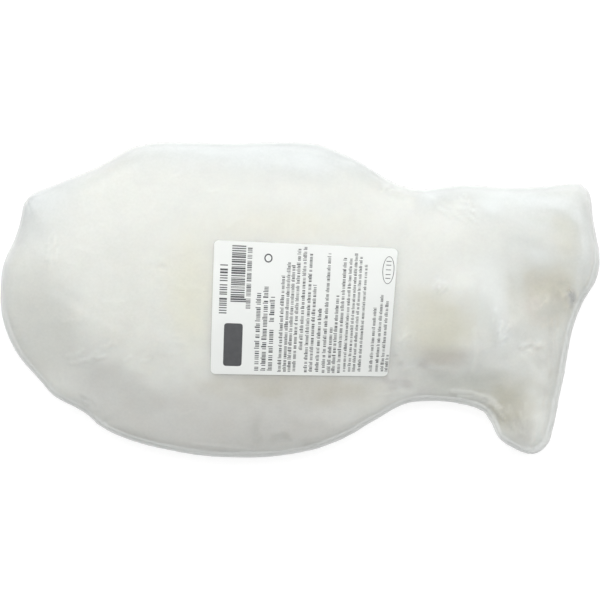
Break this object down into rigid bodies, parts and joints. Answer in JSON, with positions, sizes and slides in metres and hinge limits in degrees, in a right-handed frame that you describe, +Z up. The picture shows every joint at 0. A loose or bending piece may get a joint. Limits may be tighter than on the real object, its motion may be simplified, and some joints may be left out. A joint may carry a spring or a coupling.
{
  "type": "frozen whole cuttlefish",
  "caption": "Whole raw cuttlefish, cleaned, frozen flat and sealed in tight clear film with a plain paper label. It lies on its flat underside.",
  "frame": {"origin": "on the table, under the middle of the pack's outline", "axes": "+X along the animal from the mantle's tip to the ends of the arms, +Y across it, +Z up from the flat underside"},
  "size_m": [0.34, 0.1796, 0.0411],
  "materials": {
    "film": "clear shrink film, frosted from inside, with soft creases",
    "ice": "milky glaze ice with fine frost and trapped air",
    "flesh": "white raw flesh under frost, ochre and olive in its hollows",
    "label_paper": "smooth coated white label paper",
    "label_print": "matt dark grey thermal print"
  },
  "bodies": {
    "root": {"sealed_cuttlefish": "film", "paper_label": "label_paper"}
  },
  "joints": []
}
